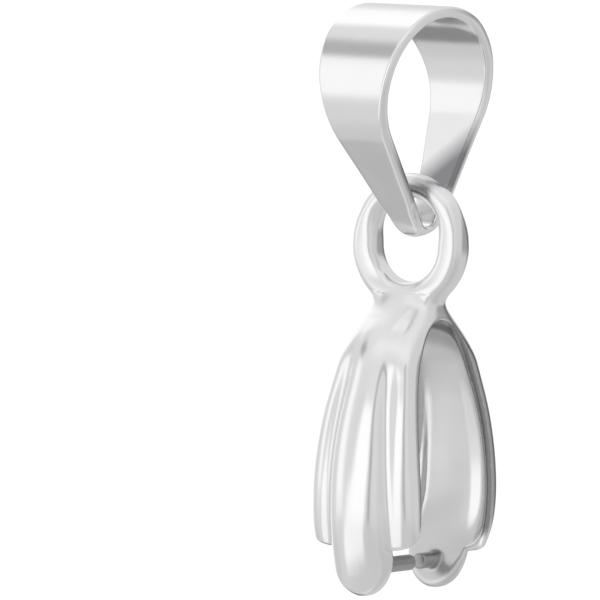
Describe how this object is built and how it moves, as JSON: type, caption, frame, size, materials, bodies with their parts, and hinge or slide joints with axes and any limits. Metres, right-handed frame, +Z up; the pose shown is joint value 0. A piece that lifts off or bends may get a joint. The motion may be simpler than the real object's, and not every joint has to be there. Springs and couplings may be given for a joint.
{
  "type": "pendant bail",
  "caption": "Pinch bail for a pendant: fluted leaves under a ring, with pins for a drilled stone, swinging on a folded strap that rides on a chain.",
  "frame": {"origin": "inside top of the strap's loop, where the chain lies", "axes": "+X along the drop's width, +Y from its front leaf to its back leaf, +Z up"},
  "size_m": [0.0048, 0.0076, 0.0219],
  "materials": {
    "strap_silver": "polished silver strip",
    "drop_silver": "polished cast silver"
  },
  "bodies": {
    "strap": {"strap_bail": "strap_silver"},
    "drop": {"pinch_bail": "drop_silver"}
  },
  "joints": [
    {"name": "swing", "type": "hinge", "parent": "strap", "child": "drop", "pos_m": [0, 0.00044, -0.00633], "axis": [1, 0, 0], "range_deg": [-100, 100]}
  ]
}
